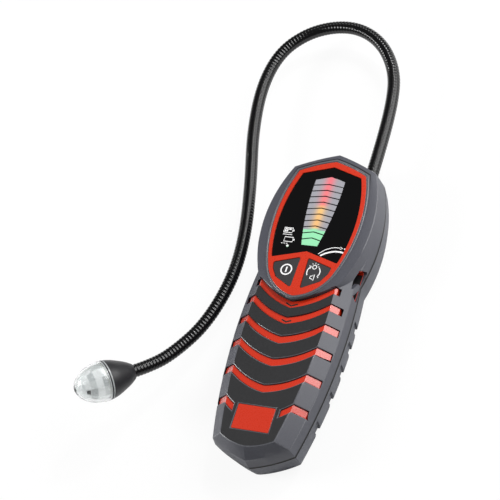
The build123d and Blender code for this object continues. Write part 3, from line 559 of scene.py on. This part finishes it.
def frame_outline():
    """The outer outline of the red frame: points in order round it, with the way out at each."""
    work = cad_copy("display_frame")
    foot = min(v.co.z for v in work.verts) + 0.01 * MM
    base = [v.co.copy() for v in work.verts if v.co.z < foot]
    centre = sum(base, Vector()) / len(base)
    rim = set()
    for f in work.faces:
        start = f.verts[0].co
        if abs(f.normal.z) < 0.05 and all((c - start).dot(f.normal) < 0.3 * MM for c in base):
            rim.update((round(v.co.x, 6), round(v.co.y, 6)) for v in f.verts if v.co.z < foot)
    work.free()
    points = [Vector(c) for c in sorted(rim, key=lambda c: math.atan2(c[1] - centre.y, c[0] - centre.x))]
    made = []
    for i, point in enumerate(points):
        before = (point - points[i - 1]).normalized()
        after = (points[(i + 1) % len(points)] - point).normalized()
        ways = [Vector((run.y, -run.x)) for run in (before, after)]
        made.append((point, (ways[0] + ways[1]) / (1 + ways[0].dot(ways[1]))))
    return made


outline = frame_outline()


def ring(name, rows, finish):
    """A closed ring round the red frame from its section: how far out and how high, in millimetres."""
    work = bmesh.new()
    loops = []
    for out, height in rows:
        places = [point + way * out * MM for point, way in outline]
        verts = [work.verts.new((place.x, place.y, height * MM)) for place in places]
        loops.append([work.edges.new((verts[i - 1], verts[i])) for i in range(len(verts))])
    for a, b in zip(loops, loops[1:] + loops[:1]):
        bmesh.ops.bridge_loops(work, edges=a + b)
    bmesh.ops.recalc_face_normals(work, faces=work.faces)
    return piece(name, work, [finish], "housing", angle=50)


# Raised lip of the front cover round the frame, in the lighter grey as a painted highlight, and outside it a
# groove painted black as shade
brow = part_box("front_cover")[1].z / MM
ring("frame_lip", [(0.12, brow - 0.6), (0.12, brow + 0.3), (0.4, brow + 0.5), (0.9, brow + 0.5), (1.25, brow + 0.2), (1.35, brow - 0.6)], abs_edge_painted_highlight)
ring("frame_groove_painted_shade", [(1.3, brow - 0.5), (1.3, brow - 0.12), (2.4, brow - 0.26), (2.4, brow - 0.7)], seal_black_and_painted_shade)

bezel = cad_copy("display_frame")
# Painted highlight: the frame's sloping faces get the lighter grey of the rounded edges
for f in bezel.faces:
    if 0.05 < f.normal.z < 0.95:
        f.material_index = 1
piece("window_bezel", bezel, [tpe_red, abs_edge_painted_highlight], "housing", ["display_frame"])

badge = cad_copy("badge_plate")
piece("bare_badge", badge, [tpe_red], "housing", ["badge_plate"])

window = cad_copy("display_lens")
round_edges(window, 0.06 * MM, segments=1)
piece("display_window", window, [window_black], "housing", ["display_lens"])

bars = cad_copy("bar_light_guide")
round_edges(bars, 0.08 * MM, segments=1)
piece("bar_graph", bars, [opal], "housing", ["bar_light_guide"])

# Keys, and under each a rubber dome
for key_name, dome_name in (("power_key", "power_dome"), ("mode_key", "mode_dome")):
    key = cad_copy(key_name)
    piece(f"{key_name}_cap", key, [key_grey], key_name, [key_name])
    rubber = piece(
        f"{key_name}_rubber", cad_copy(dome_name), [key_grey], "housing", [dome_name]
    )
    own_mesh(rubber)

seal = cad_copy("parting_seal")
for f in seal.faces:
    if f.calc_center_median().y < -86 * MM:
        f.material_index = 1
piece("parting_gasket", seal, [seal_black_and_painted_shade, tpe_red], "housing", ["parting_seal"])


# Printed symbols, a hair above the surface that carries them

PRINT = 0.03 * MM


def stroke(work, points, width, height, closed=False):
    """A flat printed line of a given width through the points, at a height."""
    count = len(points)
    left, right = [], []
    for i, (x, y) in enumerate(points):
        before = points[i - 1] if (i > 0 or closed) else points[i]
        after = points[(i + 1) % count] if (i < count - 1 or closed) else points[i]
        run = Vector((after[0] - before[0], after[1] - before[1]))
        side = Vector((-run.y, run.x)).normalized() * width / 2
        left.append(work.verts.new((x + side.x, y + side.y, height)))
        right.append(work.verts.new((x - side.x, y - side.y, height)))
    last = count if closed else count - 1
    for i in range(last):
        j = (i + 1) % count
        work.faces.new((left[i], right[i], right[j], left[j]))


def arc_points(centre, radius, start, stop, steps=24):
    """Points of an arc in millimetres, angles in degrees."""
    made = []
    for i in range(steps + 1):
        a = math.radians(start + (stop - start) * i / steps)
        made.append((centre[0] + radius * math.cos(a), centre[1] + radius * math.sin(a)))
    return made


def printed(name, lines, height, finish, body):
    """A set of printed lines as one thin piece: each line is points, width and whether it closes."""
    work = bmesh.new()
    for points, width, closed in lines:
        stroke(work, [(x * MM, y * MM) for x, y in points], width * MM, height, closed)
    bmesh.ops.recalc_face_normals(work, faces=work.faces)
    for f in work.faces:
        if f.normal.z < 0:
            f.normal_flip()
    grown = bmesh.ops.extrude_face_region(work, geom=work.faces[:])
    tops = [g for g in grown["geom"] if isinstance(g, bmesh.types.BMVert)]
    bmesh.ops.translate(work, verts=tops, vec=(0, 0, PRINT))
    bmesh.ops.recalc_face_normals(work, faces=work.faces)
    return piece(name, work, [finish], body)


window_print = lens_high.z
power_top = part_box("power_key")[1].z
printed(
    "power_symbol",
    [
        (arc_points((-9.1, 19.1), 3.3, 0, 345, 40), 0.85, True),
        ([(-9.1, 17.3), (-9.1, 20.9)], 0.85, False),
    ],
    power_top,
    print_white,
    "power_key",
)
lamp_rays = [
    ([(8.1 + 2.1 * math.cos(a), 22.6 + 2.1 * math.sin(a)), (8.1 + 3.0 * math.cos(a), 22.6 + 3.0 * math.sin(a))], 0.4, False)
    for a in [math.radians(d) for d in (10, 50, 90, 130, 170)]
]
printed(
    "light_and_sound_symbol",
    lamp_rays
    + [
        (arc_points((8.1, 22.6), 1.25, 0, 345, 24), 0.5, True),
        ([(7.2, 16.6), (8.0, 16.6), (9.6, 17.8), (9.6, 13.8), (8.0, 15.0), (7.2, 15.0)], 0.5, True),
        (arc_points((8.3, 19.3), 4.1, 130, 215, 16), 0.6, False),
        (arc_points((8.3, 19.3), 4.1, -38, 50, 16), 0.6, False),
        ([(4.6, 23.3), (5.9, 22.6), (5.4, 21.2)], 0.5, False),
        ([(12.3, 16.0), (11.4, 16.8), (11.9, 18.2)], 0.5, False),
    ],
    power_top,
    print_white,
    "mode_key",
)
printed(
    "battery_symbols",
    [
        ([(-18.9, 43.6), (-13.4, 43.6), (-13.4, 46.8), (-18.9, 46.8)], 0.5, True),
        ([(-12.7, 44.6), (-12.7, 45.8)], 0.7, False),
        ([(-18.0, 44.5), (-16.6, 44.5), (-16.6, 45.9), (-18.0, 45.9)], 0.9, True),
        ([(-15.9, 45.9), (-14.3, 45.9)], 0.9, False),
        ([(-18.9, 42.3), (-12.9, 42.3)], 0.4, False),
        ([(-16.9, 37.6), (-11.4, 37.6), (-11.4, 40.6), (-16.9, 40.6)], 0.5, True),
        ([(-10.7, 38.5), (-10.7, 39.7)], 0.7, False),
        ([(-18.2, 36.3), (-17.2, 36.3)], 0.4, False),
        ([(-16.6, 36.3), (-15.6, 36.3)], 0.4, False),
        ([(-15.0, 36.3), (-14.0, 36.3)], 0.4, False),
        (arc_points((-13.6, 34.9), 0.35, 0, 330, 12), 0.75, True),
    ],
    window_print,
    print_white,
    "housing",
)
printed(
    "dial_arcs",
    [
        ([(7.4, 31.6), (10.8, 34.7), (14.3, 36.4), (17.2, 37.0), (19.8, 36.9)], 0.45, False),
        ([(20.0, 37.6), (21.4, 36.8), (20.0, 36.1)], 0.45, False),
        ([(9.0, 30.6), (11.6, 32.4), (14.6, 33.7), (17.6, 34.4), (20.8, 34.4), (23.4, 33.8)], 1.0, False),
        (arc_points((22.9, 36.6), 0.25, 0, 330, 12), 0.5, True),
    ],
    window_print,
    print_white,
    "housing",
)

# Dark slits in the inlay under the two upper slots, as flat black marks: painted shade
printed(
    "clip_slit_painted_shade",
    [
        ([(-3.8, -1.0), (0.0, -2.6), (3.8, -1.0)], 0.9, False),
        ([(-3.0, -11.9), (0.0, -13.1), (3.0, -11.9)], 0.9, False),
    ],
    30.13 * MM,
    seal_black_and_painted_shade,
    "housing",
)

# Neck: ribbed sleeve along a smooth line through the route's points

route = [
    (16.6, 82.0, 15.7),
    (16.6, 118.0, 15.7),
    (14.2, 157.0, 16.6),
    (7.5, 176.3, 17.0),
    (-5.2, 192.4, 17.5),
    (-22.0, 201.3, 18.0),
    (-40.1, 201.5, 18.0),
    (-57.4, 194.4, 18.0),
    (-71.2, 179.4, 17.5),
    (-75.7, 154.0, 17.0),
    (-71.0, 120.0, 16.5),
    (-60.6, 84.5, 16.0),
    (-52.1, 47.1, 15.5),
    (-50.7, 16.8, 15.2),
    (-57.4, -14.7, 16.0),
    (-69.0, -36.5, 19.2),
    (-77.7, -50.0, 24.8),
    (-87.8, -61.1, 32.9),
]
rib_pitch = 2.1 * MM
rib_depth = 0.27 * MM
neck_radius = 3.98 * MM
rib_rows = 6
rib_sides = 24


def route_line():
    """Points along the smooth spline of the route, with the length run so far at each."""
    curve = bpy.data.curves.new("neck_route", "CURVE")
    curve.dimensions = "3D"
    spline = curve.splines.new("NURBS")
    spline.points.add(len(route) - 1)
    for point, place in zip(spline.points, route):
        point.co = (*[value * MM for value in place], 1.0)
    spline.order_u = 3
    spline.use_endpoint_u = True
    spline.resolution_u = 24
    holder = bpy.data.objects.new("neck_route", curve)
    line = bpy.data.meshes.new_from_object(holder)
    points = [v.co.copy() for v in line.vertices]
    bpy.data.objects.remove(holder)
    bpy.data.curves.remove(curve)
    runs = [0.0]
    for a, b in zip(points, points[1:]):
        runs.append(runs[-1] + (b - a).length)
    return points, runs


path_points, path_runs = route_line()
path_length = path_runs[-1]


def path_frames():
    """A frame at each point of the route that turns as little as it can from one to the next."""
    frames = []
    side = Vector((1, 0, 0))
    for i, point in enumerate(path_points):
        run = (path_points[min(i + 1, len(path_points) - 1)] - path_points[max(i - 1, 0)]).normalized()
        side = (side - run * side.dot(run)).normalized()
        frames.append((point, side, run.cross(side), run))
    return frames


frames = path_frames()


def on_path(station):
    """The route's frame at a length along it."""
    station = min(max(station, 0.0), path_length)
    low = 0
    high = len(path_runs) - 1
    while high - low > 1:
        middle = (low + high) // 2
        if path_runs[middle] <= station:
            low = middle
        else:
            high = middle
    share = (station - path_runs[low]) / (path_runs[high] - path_runs[low])
    a, b = frames[low], frames[high]
    return [a[i].lerp(b[i], share) for i in range(4)]


def nearest_station(point):
    """The length along the route that is closest to a point."""
    target = Vector(point)
    best = min(range(len(path_points)), key=lambda i: (path_points[i] - target).length)
    return path_runs[best]


def sleeve(name, start, stop, stands_for):
    """One length of ribbed sleeve, spun straight and then laid along the route."""
    work = bmesh.new()
    ribs = max(1, round((stop - start) / rib_pitch))
    rows = ribs * rib_rows
    previous = None
    for row in range(rows + 1):
        wave = 0.5 - 0.5 * math.cos(2 * math.pi * row / rib_rows)
        radius = neck_radius - rib_depth * (1 - wave**0.5)
        vert = work.verts.new((radius, 0, start + (stop - start) * row / rows))
        if previous:
            work.edges.new((previous, vert))
        previous = vert
    bmesh.ops.spin(
        work,
        geom=work.verts[:] + work.edges[:],
        cent=(0, 0, 0),
        axis=(0, 0, 1),
        dvec=(0, 0, 0),
        angle=2 * math.pi,
        steps=rib_sides,
        use_merge=True,
    )
    bmesh.ops.remove_doubles(work, verts=work.verts, dist=0.0001 * MM)
    bmesh.ops.recalc_face_normals(work, faces=work.faces)
    for v in work.verts:
        point, side, up, run = on_path(v.co.z)
        v.co = point + side * v.co.x + up * v.co.y
    made = piece(name, work, [sleeve_black], None, stands_for, angle=80)
    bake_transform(made)
    return made


root_pivot = (16.35, 118.0, 15.79)
crown_pivot = (-33.8, 201.39, 18.0)
tip_pivot = (-59.63, -18.24, 16.65)


def bend_ends(pivot, half):
    """Where the bending stretch at a pivot begins and ends, half its length to each side of it."""
    station = nearest_station([value * MM for value in pivot])
    return station, on_path(station - half)[0], on_path(station + half)[0]


root_station, root_from, root_to = bend_ends(root_pivot, 20 * MM)
crown_station, crown_from, crown_to = bend_ends(crown_pivot, 42 * MM)
tip_station, tip_from, tip_to = bend_ends(tip_pivot, 20 * MM)
lower_joint = (root_station + crown_station) / 2
upper_joint = (crown_station + tip_station) / 2
sleeve("neck_root", 0, lower_joint, ["neck_base", "neck_flex_root", "neck_lower"])
sleeve("neck_crown", lower_joint, upper_joint, ["neck_flex_crown"])
sleeve("neck_tip", upper_joint, path_length, ["neck_upper", "neck_flex_tip", "neck_end"])

# Sensor head: turned pieces on the head's own axis
head_axis = Vector((-0.5922, -0.6509, 0.4750)).normalized()
head_origin = Vector((-84.84, -57.85, 30.53)) * MM
head_place = Matrix.Translation(head_origin) @ head_axis.to_track_quat("Z", "Y").to_matrix().to_4x4()


def turned(name, outline, finish, stands_for, sides=72, angle=35, band=None):
    """A turned piece of the sensor head from its half section of (radius, station) in millimetres."""
    work = bmesh.new()
    verts = [work.verts.new((r * MM, 0, z * MM)) for r, z in outline]
    for a, b in zip(verts, verts[1:]):
        work.edges.new((a, b))
    work.edges.new((verts[-1], verts[0]))
    bmesh.ops.spin(
        work,
        geom=work.verts[:] + work.edges[:],
        cent=(0, 0, 0),
        axis=(0, 0, 1),
        dvec=(0, 0, 0),
        angle=2 * math.pi,
        steps=sides,
        use_merge=True,
    )
    bmesh.ops.remove_doubles(work, verts=work.verts, dist=0.001 * MM)
    bmesh.ops.recalc_face_normals(work, faces=work.faces)
    for f in work.faces:
        if band and band[0] * MM < f.calc_center_median().z < band[1] * MM:
            f.material_index = 1
    bmesh.ops.transform(work, matrix=head_place, verts=work.verts)
    return piece(name, work, [finish, chip_black], "probe", stands_for, angle=angle)


def curve_points(points, steps=8):
    """A smooth line of points through the given ones."""
    made = []
    count = len(points)
    for i in range(count - 1):
        p0 = Vector(points[max(i - 1, 0)])
        p1 = Vector(points[i])
        p2 = Vector(points[i + 1])
        p3 = Vector(points[min(i + 2, count - 1)])
        for s in range(steps):
            t = s / steps
            made.append(
                tuple(
                    0.5
                    * (
                        2 * p1
                        + (p2 - p0) * t
                        + (2 * p0 - 5 * p1 + 4 * p2 - p3) * t * t
                        + (3 * p1 - p0 - 3 * p2 + p3) * t**3
                    )
                )
            )
    made.append(tuple(points[-1]))
    return made


cone_outside = curve_points([(4.7, 0.0), (7.0, 3.6), (9.05, 8.0), (10.8, 12.4), (11.8, 16.4)])
turned(
    "probe_cone",
    [(4.08, 0.0)] + cone_outside + [(11.8, 16.6), (10.45, 16.6), (4.08, 8.0)],
    abs_probe,
    ["probe_body"],
)
turned(
    "probe_clamp_ring",
    [
        (10.45, 16.65),
        (11.6, 16.65),
        (11.95, 16.95),
        (11.95, 17.55),
        (11.5, 17.7),
        (11.5, 18.2),
        (11.95, 18.35),
        (11.95, 18.8),
        (11.8, 19.0),
        (10.45, 19.0),
    ],
    ring_clear,
    ["probe_ring"],
    band=(17.6, 18.3),
)
dome_base = 19.03
dome_outside = curve_points(
    [(12.1, dome_base), (12.0, 22.0), (11.1, 26.5), (9.45, 30.2), (7.65, 33.0), (5.3, 35.3), (3.0, 36.7)]
)
dome_inside = curve_points(
    [(2.4, 35.6), (4.6, 34.2), (6.8, 31.9), (8.5, 29.3), (9.9, 25.9), (10.8, 21.8), (10.9, dome_base)]
)
turned(
    "probe_dome_shell",
    dome_outside + [(2.2, 37.0), (1.8, 36.95), (1.6, 36.3)] + dome_inside,
    dome_clear,
    ["probe_dome"],
    angle=45,
)

# Facetted diffuser under the dome: flat panes in rings with a painted glow in three tones of painted shade, one
# of them dark where the air slot is
pane_sides = 11
pane_rings = [(10.5, 19.3), (10.3, 22.4), (9.3, 26.3), (7.7, 29.6), (5.6, 32.4), (4.2, 33.6), (3.9, 31.4)]
panes = bmesh.new()
rim = [panes.verts.new((r * MM, 0, z * MM)) for r, z in pane_rings]
for a, b in zip(rim, rim[1:]):
    panes.edges.new((a, b))
bmesh.ops.spin(
    panes,
    geom=panes.verts[:] + panes.edges[:],
    cent=(0, 0, 0),
    axis=(0, 0, 1),
    dvec=(0, 0, 0),
    angle=2 * math.pi,
    steps=pane_sides,
    use_merge=True,
)
bmesh.ops.remove_doubles(panes, verts=panes.verts, dist=0.001 * MM)
bmesh.ops.recalc_face_normals(panes, faces=panes.faces)
# The painted shade of a pane follows from its ring and from its place round it
pane_shade_pattern = (0, 1, 0, 2, 1, 0, 0, 2)
pane_angle = 2 * math.pi / pane_sides
for f in panes.faces:
    centre = f.calc_center_median()
    row = sum(z * MM < centre.z for _, z in pane_rings)
    column = math.floor(math.atan2(centre.y, centre.x) / pane_angle) % pane_sides
    f.material_index = pane_shade_pattern[(6 * column + row) % len(pane_shade_pattern)]
bmesh.ops.solidify(panes, geom=panes.faces[:], thickness=0.35 * MM)
bmesh.ops.recalc_face_normals(panes, faces=panes.faces)
bmesh.ops.transform(panes, matrix=head_place, verts=panes.verts)
slot_place = head_origin + 0.0290 * head_axis + Vector((0.0052, -0.0052, 0.0042))
nearest = min(panes.faces, key=lambda f: (f.calc_center_median() - slot_place).length)
bmesh.ops.inset_individual(panes, faces=[nearest], thickness=0.6 * MM, use_even_offset=True)
nearest.material_index = 3
piece("probe_diffuser", panes, [pane_painted_glow, pane_painted_shade, pane_painted_dark_shade, chip_black], "probe", angle=4)

# What stays as it is in the CAD gets its real finish
finishes = {
    "main_board": pcb_green,
    "sensor_board": pcb_green,
    "board_screws": steel,
    "housing_screws": steel,
    "door_screw": steel,
    "battery_spring_1": steel,
    "battery_spring_2": steel,
    "battery_spring_3": steel,
    "contact_plate_low": steel,
    "contact_plate_high": steel,
    "gas_sensor": steel,
    "indicator_led": lamp_white,
    "probe_lamps": lamp_white,
    "probe_reflector": lamp_white,
    "buzzer": chip_black,
    "control_chip": chip_black,
    "neck_ferrule": chip_black,
    "battery_1": cell_sleeve,
    "battery_2": cell_sleeve,
    "battery_3": cell_sleeve,
}
for name, made in nodes.items():
    if name.startswith("bar_led_"):
        finishes[name] = lamp_white
    if name in finishes:
        made.data.materials.clear()
        made.data.materials.append(finishes[name])

# Floor, light and camera


def floor_material():
    """Pale seamless paper: white to the lens and through clear plastic, with the object's shadow."""
    finish, tree, out = new_material("paper_white")
    rays = add_node(tree, "ShaderNodeLightPath")
    direct = add_node(
        tree,
        "ShaderNodeMath",
        {"operation": "MAXIMUM"},
        {0: rays.outputs["Is Camera Ray"], 1: rays.outputs["Is Transmission Ray"]},
    )
    paper = add_node(tree, "ShaderNodeBsdfDiffuse", {"Color": linear("F4F4F4")})
    glow = add_node(tree, "ShaderNodeEmission", {"Color": linear("FFFFFF"), "Strength": 1.0})
    share = add_node(
        tree, "ShaderNodeMath", {"operation": "MULTIPLY", 1: 0.9}, {0: direct.outputs["Value"]}
    )
    mixed = add_node(
        tree,
        "ShaderNodeMixShader",
        None,
        {0: share.outputs["Value"], 1: paper.outputs["BSDF"], 2: glow.outputs["Emission"]},
    )
    tree.links.new(mixed.outputs["Shader"], out.inputs["Surface"])
    return finish


floor_work = bmesh.new()
bmesh.ops.create_grid(floor_work, x_segments=1, y_segments=1, size=4.0)
bmesh.ops.translate(floor_work, verts=floor_work.verts, vec=(0, 0, -0.05 * MM))
floor_mesh = bpy.data.meshes.new("table")
floor_work.to_mesh(floor_mesh)
floor_work.free()
floor_mesh.materials.append(floor_material())
table = bpy.data.objects.new("table", floor_mesh)
bpy.context.scene.collection.objects.link(table)

# Studio around it: white to the lens, a dim fill to everything else
world = bpy.data.worlds.new("studio")
world.use_nodes = True
studio = world.node_tree.nodes["Background"]
studio.inputs["Color"].default_value = (1, 1, 1, 1)
seen = add_node(world.node_tree, "ShaderNodeLightPath")
strength = add_node(
    world.node_tree,
    "ShaderNodeMapRange",
    {"To Min": 0.15, "To Max": 1.0},
    {"Value": seen.outputs["Is Camera Ray"]},
)
world.node_tree.links.new(strength.outputs["Result"], studio.inputs["Strength"])
bpy.context.scene.world = world


def softbox(name, place, target, size, watts):
    """A large rectangular lamp aimed at a point."""
    lamp = bpy.data.lights.new(name, "AREA")
    lamp.shape = "RECTANGLE"
    lamp.size = size[0]
    lamp.size_y = size[1]
    lamp.energy = watts
    made = bpy.data.objects.new(name, lamp)
    made.location = place
    made.rotation_mode = "QUATERNION"
    made.rotation_quaternion = (Vector(target) - Vector(place)).to_track_quat("-Z", "Y")
    bpy.context.scene.collection.objects.link(made)


middle = (cad_box[0] + cad_box[1]) / 2
softbox("right_box", middle + Vector((0.76, 0.41, 0.53)), middle, (0.85, 0.85), 10.5)
softbox("left_box", middle + Vector((-0.78, -0.28, 0.53)), middle, (0.35, 0.35), 7.0)
softbox("spark_box", middle + Vector((0.35, 0.55, 0.85)), middle, (0.12, 0.12), 2.6)
softbox("top_box", middle + Vector((0.1, 0.75, 0.75)), middle, (0.5, 0.3), 1.8)

# Camera at the photograph's angle, found from the outline of the body
camera = bpy.data.cameras.new("camera")
camera.sensor_width = 36.0
camera.lens = 144.0
camera.clip_start = 0.05
camera.clip_end = 20.0
lens = bpy.data.objects.new("camera", camera)
right = Vector((0.8925, 0.2992, -0.3375))
up = Vector((-0.1014, 0.8623, 0.4962))
back = Vector((0.4395, -0.4086, 0.7999))
turn = Matrix((right, up, back)).transposed()
lens.matrix_world = Matrix.Translation(Vector((0.4845, -0.4551, 0.9808))) @ turn.to_4x4()
bpy.context.scene.collection.objects.link(lens)
bpy.context.scene.camera = lens
bpy.context.scene.view_settings.view_transform = "Standard"
